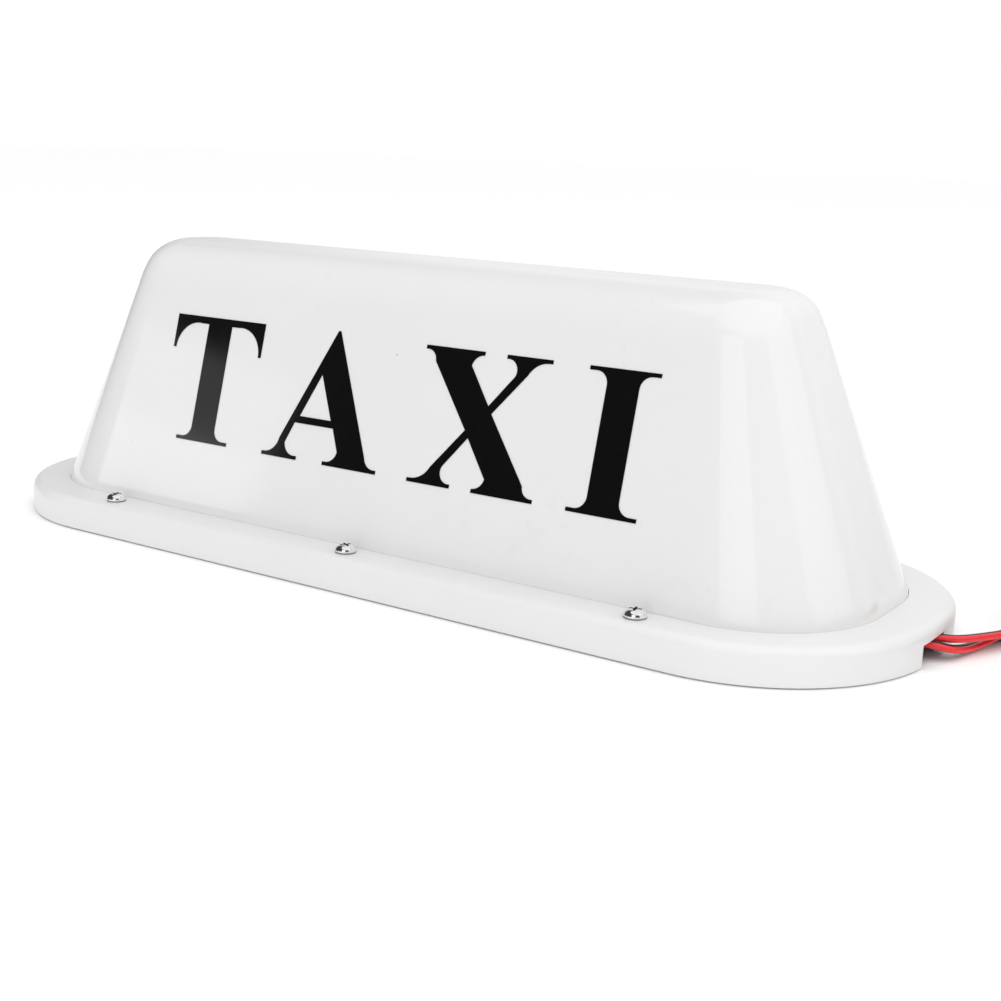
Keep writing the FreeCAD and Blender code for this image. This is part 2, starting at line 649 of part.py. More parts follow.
def plug_body():
    body = turned([(0, SPIGOT), (7.1, SPIGOT), (7.1, CAP_LONG), (9.4, CAP_LONG),
                   (BODY_R, CAP_LONG + 1.5), (BODY_R, BODY_LONG), (0, BODY_LONG)])
    body = body.cut(cyl(FUSE_R + 0.15, 0, SPRING_HIGH + 1.2))
    for side in (-1, 1):
        slot = sorted((side * 6.6, side * 12))
        body = body.cut(block(*slot, -2.35, 2.35, 16.5, 39.5))
    for k in (-1, 1):
        body = body.cut(block(*sorted((k * 1.2, k * 3.2)), -1.6, 1.6, SPRING_HIGH, BODY_LONG + 1))
    return body


def plug_terminal():
    return cyl(FUSE_R, SPRING_HIGH, SPRING_HIGH + 0.8)


def side_contact(side):
    """Bowed leaf in the body's side slot; its middle stands proud of the body."""
    leaf = [(8.1, 17.2), (8.7, 17.2), ((11.5, 28.0), (8.7, 38.8)), (8.1, 38.8),
            ((10.9, 28.0), (8.1, 17.2))]
    strip = outline(leaf).extrude(V(0, 0, 4.5))
    strip.translate(V(0, 0, -2.25))
    strip.rotate(V(0, 0, 0), V(1, 0, 0), 90)
    if side < 0:
        strip.rotate(V(0, 0, 0), V(0, 0, 1), 180)
    return strip


def plug_tail_cap():
    cap = turned([(0, BODY_LONG), (GRIP_R, BODY_LONG), (GRIP_R, BODY_LONG + 5.5),
                  (9.6, BODY_LONG + 6.5), ((8.9, BODY_LONG + 11.5), (6.6, TAIL_LONG)),
                  (0, TAIL_LONG)])
    for k in range(20):
        rib = cyl(0.8, BODY_LONG - 1, BODY_LONG + 8, GRIP_R + 0.45, 0)
        rib.rotate(V(0, 0, 0), V(0, 0, 1), 18 * k + 9)
        cap = cap.cut(rib)
    return cap.cut(cyl(4.1, BODY_LONG - 1, TAIL_LONG + 1))


def plug_strain_relief():
    stem = turned([(0, BODY_LONG + 4), (4.1, BODY_LONG + 4), (4.1, TAIL_LONG), (5.4, TAIL_LONG),
                   (5.2, TAIL_LONG + 2), (3.6, RELIEF_LONG - 2), (3.4, RELIEF_LONG),
                   (0, RELIEF_LONG)])
    for k in range(4):
        low = TAIL_LONG + 3.4 + 3.3 * k
        stem = stem.cut(cyl(9, low, low + 1.3).cut(cyl(3.3 - 0.1 * k, low - 1, low + 3)))
    for z in (-1.35, 1.35):
        channel = Part.makeCylinder(LEAD_R, 60, V(0, z, BODY_LONG), V(0, 0, 1))
        stem = stem.cut(channel)
    return stem


def build():
    parts["dome_cover"] = dome_cover()
    parts["base_frame"] = base_frame()
    parts["base_plate"] = base_plate()
    parts["cover_gasket"] = cover_gasket()
    for name, inner, lead, tail, levels in (
            ("front", FRONT_INNER, FRONT_LEAD, FRONT_TAIL, FRONT_COIL),
            ("rear", REAR_INNER, REAR_LEAD, REAR_TAIL, REAR_COIL)):
        parts[f"{name}_inner_lead"] = cord(inner, LEAD_R, f"{name} inner lead")
        parts[f"{name}_lead"] = cord(lead, LEAD_R, f"{name} lead")
        parts[f"{name}_lead_coil"] = coil(*levels)
        parts[f"{name}_lead_tail"] = cord(tail, LEAD_R, f"{name} tail")
    parts["cable_grommet"] = cable_grommet()
    screws = []
    for n, (x, y) in enumerate(screw_spots()):
        screw = pan_screw(3.4, 2.5, 1.55, 9.6, turn=23 + 41 * n)
        screw.translate(V(x, y, RIM_TOP))
        screws.append(screw)
    parts["cover_screws"] = Part.makeCompound(screws)
    for (x, y), name in zip(four_ways(MAGNET_X, MAGNET_Y),
                            ("front_left", "rear_left", "front_right", "rear_right")):
        magnet(x, y, name)
    magnet_fixings()
    parts["lamp_bracket"] = lamp_bracket()
    for spots, height, name in ((bracket_spots(), PLATE_TOP + WEB, "bracket_screws"),
                                (clamp_spots(), PLATE_TOP + 2.0, "clamp_screws")):
        group = []
        for x, y in spots:
            screw = pan_screw(2.7, 1.9, 1.25, 5.8)
            screw.translate(V(x, y, height))
            group.append(screw)
        parts[name] = Part.makeCompound(group)
    for side, name in ((-1, "front"), (1, "rear")):
        lamp_side(side, name)
        parts[f"{name}_lettering"] = lettering(side)
    parts["board_rivets"] = board_rivets()
    parts["lead_clamp"] = lead_clamp()
    parts["coil_tie"] = coil_tie()
    for name, shape in (("plug_nose_cap", plug_nose_cap()), ("plug_contact", plug_contact()),
                        ("plug_fuse", plug_fuse()), ("plug_fuse_caps", plug_fuse_caps()),
                        ("plug_spring", plug_spring()), ("plug_terminal", plug_terminal()),
                        ("plug_body", plug_body()), ("plug_side_contact_left", side_contact(-1)),
                        ("plug_side_contact_right", side_contact(1)),
                        ("plug_tail_cap", plug_tail_cap()),
                        ("plug_strain_relief", plug_strain_relief())):
        parts[name] = lay_down(shape)


build()
for node, shape in parts.items():
    good = shape.isValid() and all(s.isClosed() for s in shape.Solids)
    box = shape.BoundBox
    print(f"{node:28s} solids {len(shape.Solids):3d} valid {good} volume {shape.Volume:10.1f} "
          f"z {box.ZMin:7.2f} {box.ZMax:7.2f}")
    shape.exportStep(f"parts/{node}.step")
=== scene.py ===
"""Magnetic taxi roof light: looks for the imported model, in metres.

The opal dome, the two twin leads, the contact spring and the tie are made here as worked-out
surfaces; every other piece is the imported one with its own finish.
"""
import json
import math

import bpy
import numpy as np
from mathutils import Matrix, Vector


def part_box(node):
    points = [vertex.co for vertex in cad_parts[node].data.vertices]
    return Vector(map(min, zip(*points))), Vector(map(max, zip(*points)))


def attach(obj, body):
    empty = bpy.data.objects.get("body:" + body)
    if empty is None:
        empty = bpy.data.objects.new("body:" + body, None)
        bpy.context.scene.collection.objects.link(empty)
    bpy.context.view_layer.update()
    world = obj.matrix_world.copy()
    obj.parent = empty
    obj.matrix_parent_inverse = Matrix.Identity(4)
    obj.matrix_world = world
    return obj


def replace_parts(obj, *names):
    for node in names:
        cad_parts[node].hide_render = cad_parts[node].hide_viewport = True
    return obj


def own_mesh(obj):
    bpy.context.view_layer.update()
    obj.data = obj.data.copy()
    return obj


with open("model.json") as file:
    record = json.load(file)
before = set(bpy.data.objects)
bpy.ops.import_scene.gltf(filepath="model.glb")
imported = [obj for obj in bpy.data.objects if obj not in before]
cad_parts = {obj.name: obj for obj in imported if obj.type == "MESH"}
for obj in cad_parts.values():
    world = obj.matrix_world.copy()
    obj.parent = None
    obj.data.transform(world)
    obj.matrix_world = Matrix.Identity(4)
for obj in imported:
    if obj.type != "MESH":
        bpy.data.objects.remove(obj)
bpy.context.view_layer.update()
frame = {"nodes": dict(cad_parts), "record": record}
MM = 0.001


# ---- camera -------------------------------------------------------------------------------
CAMERA_AT = (302.8 * MM, -421.5 * MM, 144.7 * MM)
CAMERA_YAW = 0.585                 # radians
CAMERA_PITCH = -0.237
CAMERA_ROLL = 0.032
CAMERA_LENS = 54.76                # millimetres, on a sensor as wide as CAMERA_SENSOR
CAMERA_SENSOR = 36
CAMERA_SEES = (0.01, 50)           # nearest and farthest, metres


def camera():
    data = bpy.data.cameras.new("camera")
    data.lens, data.sensor_width = CAMERA_LENS, CAMERA_SENSOR
    data.clip_start, data.clip_end = CAMERA_SEES
    seen = bpy.data.objects.new("camera", data)
    bpy.context.scene.collection.objects.link(seen)
    seen.matrix_world = (Matrix.Translation(CAMERA_AT)
                         @ Matrix.Rotation(CAMERA_YAW, 4, "Z")
                         @ Matrix.Rotation(math.pi / 2 + CAMERA_PITCH, 4, "X")
                         @ Matrix.Rotation(CAMERA_ROLL, 4, "Z"))
    bpy.context.scene.camera = seen


camera()


# ---- shader maths -------------------------------------------------------------------------
class Value:
    """A number or colour from a shader node; arithmetic on it adds Math nodes."""

    def __init__(self, nodes, socket):
        self.nodes = nodes
        self.socket = socket

    def maths(self, operation, other):
        return self.nodes.node("ShaderNodeMath", {"operation": operation}, self, other)

    def __add__(self, other):
        return self.maths("ADD", other)

    def __sub__(self, other):
        return self.maths("SUBTRACT", other)

    def __rsub__(self, other):
        return self * -1 + other

    def __mul__(self, other):
        return self.maths("MULTIPLY", other)

    def __truediv__(self, other):
        return self.maths("DIVIDE", other)

    __radd__ = __add__
    __rmul__ = __mul__

    def over(self, low, high):
        """0 at low, 1 at high, straight between them and held outside."""
        return self.nodes.node("ShaderNodeClamp", {}, (self - low) / (high - low))


class Nodes:
    """The node tree of a material or of the world."""

    def __init__(self, tree):
        self.tree = tree

    def plug_in(self, socket, value):
        """Links a Value into a socket, or sets the socket to a number, a name or a colour."""
        if isinstance(value, Value):
            self.tree.links.new(value.socket, socket)
        elif socket.type == "RGBA":
            socket.default_value = (*value, 1)
        else:
            socket.default_value = value

    def node(self, kind, settings, *values, out=0, **named):
        """Any node: its settings first, then its sockets by place or by name."""
        made = self.tree.nodes.new(kind)
        for key, value in settings.items():
            setattr(made, key, value)
        for place, value in enumerate(values):
            self.plug_in(made.inputs[place], value)
        for label, value in named.items():
            self.plug_in(made.inputs[label], value)
        return Value(self, made.outputs[out])


class Finish(Nodes):
    """One material: a Principled shader, set by keyword, with the patterns its finish needs."""

    def __init__(self, name, **constants):
        self.material = bpy.data.materials.new(name)
        self.material.use_nodes = True
        super().__init__(self.material.node_tree)
        self.tree.nodes.clear()
        self.shader = self.tree.nodes.new("ShaderNodeBsdfPrincipled")
        end = self.tree.nodes.new("ShaderNodeOutputMaterial")
        self.tree.links.new(self.shader.outputs[0], end.inputs[0])
        self.set(**constants)

    def set(self, **values):
        """Sets or links the shader's sockets; Base_Color stands for Base Color."""
        for label, value in values.items():
            self.plug_in(self.shader.inputs[label.replace("_", " ")], value)
        return self

    def place(self, scale=(1, 1, 1)):
        """Object coordinates in millimetres, stretched by scale."""
        where = self.node("ShaderNodeTexCoord", {}, out="Object")
        return self.node("ShaderNodeMapping", {}, Vector=where,
                         Scale=tuple(s / MM for s in scale))

    def noise(self, size, detail=2.0, rough=0.5, where=None):
        """Cloudy pattern, 0 to 1, whose patches are about size millimetres across."""
        return self.node("ShaderNodeTexNoise", {}, Vector=where or self.place(),
                         Scale=1 / size, Detail=detail, Roughness=rough)

    def cells(self, size):
        """Distance from the middle of cells about size millimetres across, in cells."""
        return self.node("ShaderNodeTexVoronoi", {}, Vector=self.place(), Scale=1 / size)

    def bands(self, across, per_mm, waver=0.0):
        """Soft stripes across one axis, 0 to 1."""
        return self.node("ShaderNodeTexWave", {"wave_type": "BANDS", "bands_direction": across},
                         Vector=self.place(), Scale=per_mm, Distortion=waver, out="Fac")

    def blend(self, factor, first, second):
        """The first colour at 0, the second at 1. A Mix node's colours are its sockets 6 and 7."""
        made = self.tree.nodes.new("ShaderNodeMix")
        made.data_type = "RGBA"
        for place, value in ((0, factor), (6, first), (7, second)):
            self.plug_in(made.inputs[place], value)
        return Value(self, made.outputs[2])

    def bump(self, height, depth, strength):
        """Normal from a height pattern of 0 to 1 that is depth millimetres deep."""
        return self.set(Normal=self.node("ShaderNodeBump", {}, Height=height,
                                         Distance=depth * MM, Strength=strength))


# ---- finishes -----------------------------------------------------------------------------
def opal_dome():
    """Glossy opal plastic with faint clouds, rub marks and a few specks of dust."""
    f = Finish("opal_dome", IOR=1.49, Coat_Weight=0.0)
    cloud = f.noise(60, 3)
    haze = f.noise(14, 4, 0.6)
    smear = f.noise(6, 5, 0.7).over(0.56, 0.78) * f.noise(50, 2).over(0.50, 0.68)
    speck = f.cells(16).over(0.021, 0.011)
    white = f.blend(cloud, (0.758, 0.758, 0.756), (0.782, 0.782, 0.780))
    rubbed = f.blend(smear * 0.35, white, (0.640, 0.640, 0.635))
    f.set(Base_Color=f.blend(speck * 0.7, rubbed, (0.12, 0.12, 0.12)),
          Roughness=haze * 0.04 + 0.06)
    return f.bump(f.noise(22, 1), 0.05, 0.35)


def white_frame():
    """Moulded white plastic, less glossy than the dome, with a fine grain."""
    f = Finish("white_frame", IOR=1.5)
    cloud = f.noise(35, 3)
    f.set(Base_Color=f.blend(cloud, (0.752, 0.752, 0.749), (0.778, 0.778, 0.775)),
          Roughness=cloud * 0.08 + 0.30)
    return f.bump(f.noise(0.5), 0.012, 0.5)


def black_vinyl():
    """Glossy cut film for the letters, rubbed here and there."""
    f = Finish("black_vinyl", IOR=1.5)
    rub = f.noise(1.4, 4, 0.65)
    worn = rub.over(0.60, 0.72)
    cloud = f.noise(9, 3)
    f.set(Base_Color=f.blend(worn, (0.0030, 0.0030, 0.0030), (0.0060, 0.0060, 0.0060)),
          Roughness=cloud * 0.05 + worn * 0.06 + 0.06)
    return f.bump(rub, 0.01, 0.35)


def bright_metal(name, tint, rough):
    """Plated or polished metal, brushed along its length and a little stained."""
    f = Finish(name, Metallic=1.0)
    brush = f.noise(0.35, 3, 0.6, f.place((1, 1, 0.3)))
    stain = f.noise(1.8, 3)
    f.set(Base_Color=f.blend(stain, tuple(0.86 * c for c in tint), tint),
          Roughness=brush * 0.14 + rough)
    return f.bump(brush, 0.01, 0.4)


def cover_screw():
    """Chrome with a dark line of painted shade, standing in for the gap shadow where the head sits
    on the rim, 11.6 mm up.
    """
    f = Finish("chrome_screw", Metallic=1.0)
    brush = f.noise(0.35, 3, 0.6)
    stain = f.noise(1.8, 3)
    height = f.node("ShaderNodeSeparateXYZ", {}, f.place(), out="Z")
    # painted shade: from 12.15 mm down to 11.75 mm the head fades to dark grey and turns rougher,
    # standing in for the shadow in the gap under it
    foot = height.over(12.15, 11.75)
    unshaded_chrome = f.blend(stain, (0.84, 0.84, 0.85), (0.94, 0.94, 0.95))
    f.set(Base_Color=f.blend(foot, unshaded_chrome, (0.10, 0.10, 0.10)),
          Roughness=brush * 0.10 + foot * 0.3 + 0.07)
    return f.bump(brush, 0.01, 0.3)


def zinc_steel():
    """Zinc plate on steel, with faint spangles."""
    f = Finish("zinc_steel", Metallic=1.0)
    spangle = f.cells(1.6)
    cloud = f.noise(3, 4)
    f.set(Base_Color=f.blend(cloud, (0.50, 0.50, 0.47), (0.66, 0.66, 0.63)),
          Roughness=spangle * 0.1 + cloud * 0.15 + 0.24)
    return f.bump(spangle, 0.01, 0.3)


def black_plastic(name, tone, rough, grain=0.45, depth=0.02):
    """Black plastic or rubber with a pitted grain."""
    f = Finish(name, IOR=1.5)
    cloud = f.noise(18, 3)
    f.set(Base_Color=f.blend(cloud, (tone,) * 3, (1.5 * tone,) * 3),
          Roughness=cloud * 0.10 + rough)
    return f.bump(f.noise(grain), depth, 0.6)


def foam():
    """Black open-cell foam."""
    f = Finish("foam", IOR=1.4)
    cells = f.cells(0.6)
    f.set(Base_Color=f.blend(cells, (0.06, 0.06, 0.06), (0.02, 0.02, 0.02)),
          Roughness=cells * 0.1 + 0.85)
    return f.bump(cells, 0.15, 0.8)


def ferrite():
    """Ground ferrite, dark grey with grinding marks."""
    f = Finish("ferrite", Metallic=0.2)
    grind = f.noise(0.8, 4, 0.7, f.place((0.2, 1, 1)))
    f.set(Base_Color=f.blend(grind, (0.06, 0.06, 0.065), (0.13, 0.13, 0.135)),
          Roughness=grind * 0.2 + 0.4)
    return f.bump(grind, 0.02, 0.5)


def aluminium_sheet():
    """Rolled aluminium, with its rolling marks along the light."""
    f = Finish("aluminium_sheet", Metallic=1.0)
    rolling = f.noise(0.6, 4, 0.7, f.place((0.04, 1, 1)))
    f.set(Base_Color=f.blend(rolling, (0.62, 0.63, 0.64), (0.78, 0.78, 0.79)),
          Roughness=rolling * 0.2 + 0.25)
    return f.bump(rolling, 0.01, 0.5)


def nylon():
    """Natural nylon, off-white."""
    f = Finish("nylon", IOR=1.53)
    cloud = f.noise(5, 3)
    f.set(Base_Color=f.blend(cloud, (0.72, 0.70, 0.62), (0.82, 0.80, 0.73)),
          Roughness=cloud * 0.15 + 0.4)
    return f.bump(f.noise(0.5), 0.02, 0.5)


def board_white():
    """White solder mask over a woven board."""
    f = Finish("board_white", IOR=1.5)
    weave = f.bands("X", 0.9)
    f.set(Base_Color=f.blend(f.noise(12, 3), (0.80, 0.80, 0.77), (0.88, 0.88, 0.86)),
          Roughness=weave * 0.06 + 0.28)
    return f.bump(weave, 0.01, 0.3)


def led_chip():
    """Yellow lamp chips, grainy under a clear gel."""
    f = Finish("led_chip", IOR=1.45)
    grain = f.noise(0.5)
    f.set(Base_Color=f.blend(grain, (0.86, 0.78, 0.30), (0.93, 0.89, 0.62)),
          Roughness=grain * 0.1 + 0.3)
    return f.bump(grain, 0.02, 0.4)


def lead_jacket():
    """Soft vinyl, red where the lane across the lead is positive, black where it is negative."""
    f = Finish("lead_jacket", IOR=1.52)
    lane = f.node("ShaderNodeAttribute", {"attribute_name": "lane"}, out="Fac")
    scuff = f.noise(1.6, 4, 0.6)
    red = f.blend(scuff, (0.72, 0.016, 0.022), (0.86, 0.030, 0.036))
    black = f.blend(scuff, (0.010, 0.010, 0.011), (0.026, 0.026, 0.028))
    f.set(Base_Color=f.blend(lane.over(-0.06, 0.06), black, red),
          Roughness=scuff * 0.16 + 0.22)
    return f.bump(f.noise(0.7), 0.012, 0.5)


def inner_jacket():
    """The same vinyl, red only, for the stretches inside the light."""
    f = Finish("inner_jacket", IOR=1.52)
    scuff = f.noise(1.6, 4, 0.6)
    f.set(Base_Color=f.blend(scuff, (0.60, 0.016, 0.022), (0.80, 0.030, 0.036)),
          Roughness=scuff * 0.16 + 0.26)
    return f.bump(f.noise(0.7), 0.012, 0.5)


def tie_band():
    """Black hook-and-loop band with a knitted back."""
    f = Finish("tie_band", IOR=1.5)
    knit = f.bands("X", 0.45, 1.0) * (f.bands("Y", 0.45, 1.0) + f.bands("Z", 0.45, 1.0)) * 0.5
    f.set(Base_Color=f.blend(knit, (0.008, 0.008, 0.009), (0.045, 0.045, 0.048)),
          Roughness=knit * 0.1 + 0.85)
    return f.bump(knit, 0.12, 0.8)


def fuse_glass():
    """Clear glass, a little smeared."""
    f = Finish("fuse_glass", IOR=1.5, Alpha=0.35)
    smear = f.noise(4)
    return f.set(Base_Color=f.blend(smear, (0.80, 0.86, 0.86), (0.92, 0.95, 0.95)),
                 Roughness=smear * 0.05 + 0.03)


def brass():
    """Stained brass."""
    f = Finish("brass_terminal", Metallic=1.0)
    stain = f.noise(2, 4)
    f.set(Base_Color=f.blend(stain, (0.52, 0.36, 0.12), (0.80, 0.62, 0.26)),
          Roughness=stain * 0.2 + 0.2)
    return f.bump(stain, 0.01, 0.4)


FINISHES = {
    "opal_dome": opal_dome(), "white_frame": white_frame(), "black_vinyl": black_vinyl(),
    "chrome_screw": cover_screw(), "zinc_steel": zinc_steel(),
    "black_plate": black_plastic("black_plate", 0.020, 0.45),
    "black_rubber": black_plastic("black_rubber", 0.016, 0.62, 0.35, 0.03),
    "plug_black": black_plastic("plug_black", 0.018, 0.36),
    "resistor_black": black_plastic("resistor_black", 0.03, 0.5),
    "foam": foam(), "ferrite": ferrite(), "aluminium_sheet": aluminium_sheet(),
    "nylon": nylon(), "board_white": board_white(), "led_chip": led_chip(),
    "lead_jacket": lead_jacket(), "tie_band": tie_band(), "fuse_glass": fuse_glass(),
    "brass_terminal": brass(),
    "nickel_contact": bright_metal("nickel_contact", (0.74, 0.72, 0.67), 0.16),
    "spring_steel": bright_metal("spring_steel", (0.62, 0.62, 0.61), 0.2),
    "inner_jacket": inner_jacket(),
}


def paint(piece, finish):
    """One finish all over a piece."""
    if not piece.data.materials:
        piece.data.materials.append(None)
    for place in range(len(piece.data.materials)):
        piece.data.materials[place] = FINISHES[finish].material


# ---- mesh helpers -------------------------------------------------------------------------
def mesh_piece(name, points, faces, finish, sharp):
    """A smooth piece in its finish that rides on the light, crisp where it turns past sharp
    degrees."""
    mesh = bpy.data.meshes.new(name)
    mesh.from_pydata(np.asarray(points, float).reshape(-1, 3).tolist(), [], faces)
    mesh.update()
    mesh.polygons.foreach_set("use_smooth", np.ones(len(mesh.polygons), bool))
    mesh.set_sharp_from_angle(angle=math.radians(sharp))
    piece = bpy.data.objects.new(name, mesh)
    bpy.context.scene.collection.objects.link(piece)
    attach(piece, "light")
    paint(piece, finish)
    return piece


def ring_faces(rows, cols, loop=False):
    """Quads between each closed ring and the next, and from the last to the first in a loop."""
    row = np.arange(rows if loop else rows - 1)[:, None]
    here = np.arange(cols)[None, :]
    after = (here + 1) % cols
    low = row * cols
    high = (row + 1) % rows * cols
    quads = np.stack([low + here, low + after, high + after, high + here], -1)
    return quads.reshape(-1, 4).tolist()


def rings_piece(name, rings, finish, sharp):
    """A closed skin through rings of equal count, each end closed by one flat face."""
    rings = np.asarray(rings, float)
    rows, cols = rings.shape[:2]
    ends = [list(range(cols))[::-1], list(range((rows - 1) * cols, rows * cols))]
    return mesh_piece(name, rings, ring_faces(rows, cols) + ends, finish, sharp)


def directions(line, closed=False):
    """Unit vectors along a line of points: the difference of each point's two neighbours."""
    along = np.roll(line, -1, 0) - np.roll(line, 1, 0) if closed else np.gradient(line, axis=0)
    return along / np.linalg.norm(along, axis=1)[:, None]


# ---- the two twin leads -------------------------------------------------------------------
CONDUCTOR_R = 1.0
WEB_HALF = 0.42                    # half height of the thin web between the conductors
COIL_CENTRE = (220.5, 60.0)
LANES = (24.6, 22.5, 20.4)         # radii of the coil's turns, outside to inside
COIL_TURNS = 6.5
POINTS_PER_TURN = 16
LANE_CHANGES = (0.8, 1.8, 4.2, 5.2)    # turns after which the lead moves over to the next lane
CHANGE_TAKES = 0.3                 # turns
CLIMB_TURNS = (2.9, 3.35)          # from the lower layer to the upper one
CLIMB = 4.1
FRONT_COIL_Z, REAR_COIL_Z = 2.85, 11.15
PLUG_X, PLUG_Z = 245.0, 11.4
FRONT_EXIT = (168.4, -5.6, 5.6)
REAR_EXIT = (168.4, -0.8, 5.6)
FRONT_LEAD = [FRONT_EXIT, (173.2, -3.4, 5.2), (177.3, -2.4, 4.8), (180.7, 0.0, 3.7),
              (182.3, 4.8, 2.6), (183.6, 11.6, 1.7), (185.7, 19.0, 1.7), (188.3, 27.2, 2.1),
              (191.3, 35.9, 2.3), (194.0, 44.4, 2.5), (195.5, 52.4, 2.8)]
REAR_LEAD = [REAR_EXIT, (173.5, 1.0, 5.9), (178.2, 2.6, 5.7), (181.9, 4.9, 5.6),
             (184.7, 9.7, 5.3), (187.2, 15.4, 4.9), (190.2, 21.6, 4.6), (192.6, 29.6, 4.9),
             (194.3, 38.0, 6.6), (195.3, 46.2, 9.0), (195.7, 53.4, 10.8)]
FRONT_TAIL = [(245.4, 53.4, 7.0), (244.8, 45.6, 8.4), (245.2, 38.0, 9.8),
              (PLUG_X, 32.0, PLUG_Z - 1.35)]
REAR_TAIL = [(245.3, 53.2, 15.0), (245.0, 45.4, 14.0), (244.9, 38.2, 12.9),
             (PLUG_X, 32.0, PLUG_Z + 1.35)]
# distance along the lead in mm, counted back from the plug where negative, and roll in degrees
FRONT_ROLLS = [(0, 0), (8, -4), (25, -4), (32, 18), (40, 52), (50, 80), (62, 90), (-28, 90),
               (-8, 0)]
REAR_ROLLS = [(0, 0), (14, 8), (40, 12), (60, 40), (78, 90), (-28, 90), (-8, 0)]


def coil_points(low):
    """Turns run inwards on the lower layer, step up, and run outwards on the upper one: at turn
    n the point is (X - R cos 2 pi n, Y + R sin 2 pi n), R going from lane to lane. The spline
    cuts its corners, so the points stand 2 / (1 + cos(pi / points per turn)) outside the lane."""
    turn = np.linspace(0, COIL_TURNS, int(COIL_TURNS * POINTS_PER_TURN) + 1)
    outer, middle, inner = LANES
    changes = [start + late for start in LANE_CHANGES for late in (0, CHANGE_TAKES)]
    lane = np.interp(turn, changes, (outer, middle, middle, inner, inner, middle, middle, outer))
    lane = lane * 2 / (1 + math.cos(math.pi / POINTS_PER_TURN))
    lane[[0, -1]] = outer
    angle = math.pi - 2 * math.pi * turn
    return np.stack([COIL_CENTRE[0] + lane * np.cos(angle),
                     COIL_CENTRE[1] + lane * np.sin(angle),
                     low + np.interp(turn, CLIMB_TURNS, (0, CLIMB))], 1).tolist()


def smooth_line(name, route, step=1.0 * MM):
    """Evenly spaced points of the smooth spline whose control points are the route, and how far
    along it each one is."""
    curve = bpy.data.curves.new(name, "CURVE")
    curve.dimensions = "3D"
    curve.resolution_u = 8
    spline = curve.splines.new("NURBS")
    spline.points.add(len(route) - 1)
    weighted = np.c_[np.array(route) * MM, np.ones(len(route))]
    spline.points.foreach_set("co", weighted.ravel())
    spline.order_u = 3
    spline.use_endpoint_u = True
    guide = bpy.data.objects.new(name, curve)
    bpy.context.scene.collection.objects.link(guide)
    mesh = bpy.data.meshes.new_from_object(guide)
    line = np.empty(len(mesh.vertices) * 3)
    mesh.vertices.foreach_get("co", line)
    line = line.reshape(-1, 3)
    bpy.data.objects.remove(guide)
    bpy.data.curves.remove(curve)
    bpy.data.meshes.remove(mesh)
    along = np.r_[0, np.cumsum(np.linalg.norm(np.diff(line, axis=0), axis=1))]
    even = np.linspace(0, along[-1], int(along[-1] / step) + 1)
    return np.stack([np.interp(even, along, line[:, k]) for k in range(3)], 1), even


def twin_section(count=14):
    """Outline of two round conductors side by side: from the middle, the radius at angle t is
    the larger of 2 r |cos t|, a circle through the middle, and the web's half height over
    |sin t|. The points stand closer near the web. Returns offsets along the width and across."""
    lobe = np.linspace(1, -1, count)
    t = np.sign(lobe) * np.abs(lobe) ** 0.85 * math.radians(78)
    t = np.r_[t + math.pi, t]
    reach = np.maximum(2 * CONDUCTOR_R * np.abs(np.cos(t)),
                       WEB_HALF / np.maximum(np.abs(np.sin(t)), 0.3))
    return reach * np.cos(t) * MM, reach * np.sin(t) * MM


def twin_lead(name, route, rolls, nodes):
    """Twin lead: the section (a, b) carried along the route as line + a wide + b tall, where
    wide = cos(roll) side + sin(roll) up and tall = cos(roll) up - sin(roll) side. Roll 0 lays
    the lead flat with red on its right."""
    line, along = smooth_line(name + "_line", route)
    tangent = directions(line)
    side = np.cross(tangent, (0, 0, 1))
    side /= np.linalg.norm(side, axis=1)[:, None]
    up = np.cross(side, tangent)
    at = [far * MM if far >= 0 else along[-1] + far * MM for far, _ in rolls]
    roll = np.radians(np.interp(along, at, [angle for _, angle in rolls]))
    soft = np.ones(9) / 9
    roll = np.convolve(np.pad(roll, 4, mode="edge"), soft, mode="valid")[:, None]
    wide = np.cos(roll) * side + np.sin(roll) * up
    tall = np.cos(roll) * up - np.sin(roll) * side
    a, b = twin_section()
    rings = line[:, None] + a[None, :, None] * wide[:, None] + b[None, :, None] * tall[:, None]
    piece = rings_piece(name, rings, "lead_jacket", sharp=60)
    lane = np.tile(a / MM, len(line)).astype(np.float32)
    piece.data.attributes.new("lane", "FLOAT", "POINT").data.foreach_set("value", lane)
    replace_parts(piece, *nodes)
    return piece, line


LEADS = []
for end, head, coil_z, tail, rolls in (
        ("front", FRONT_LEAD, FRONT_COIL_Z, FRONT_TAIL, FRONT_ROLLS),
        ("rear", REAR_LEAD, REAR_COIL_Z, REAR_TAIL, REAR_ROLLS)):
    stands_for = [f"{end}_lead", f"{end}_lead_coil", f"{end}_lead_tail"]
    lead, middle_line = twin_lead(f"{end}_twin_lead", head + coil_points(coil_z) + tail, rolls,
                                  stands_for)
    LEADS.append((lead, middle_line, head[0]))


# ---- dome ---------------------------------------------------------------------------------
RIM_TOP = 11.6
FOOT = (162.55, 47.9, 39.0)        # half length, half width, corner radius at the rim's top
DOME_TOP = 102.5
DOME_WALL = 2.2
END_DRAFT, FACE_DRAFT = 21.3, 15.1     # degrees
TOP_CORNER = 18.0                  # corner radius at the top
END_ROUND, FACE_ROUND = 12.0, 20.0     # rounding into the flat top
CORNER_EASE = 0.62                 # how fast a corner tightens as the face rounds over
CORNER_MOST = 0.97                 # widest corner, as a share of the half width
WALL_RINGS, ROUND_RINGS = 16, 26
FLANGE_LEVELS = (7.2, 9.2)
FLANGE_EDGE = (174.5, 59.0, 52.7)
HOLD = 0.3                         # distance of the rings that hold an inner corner crisp


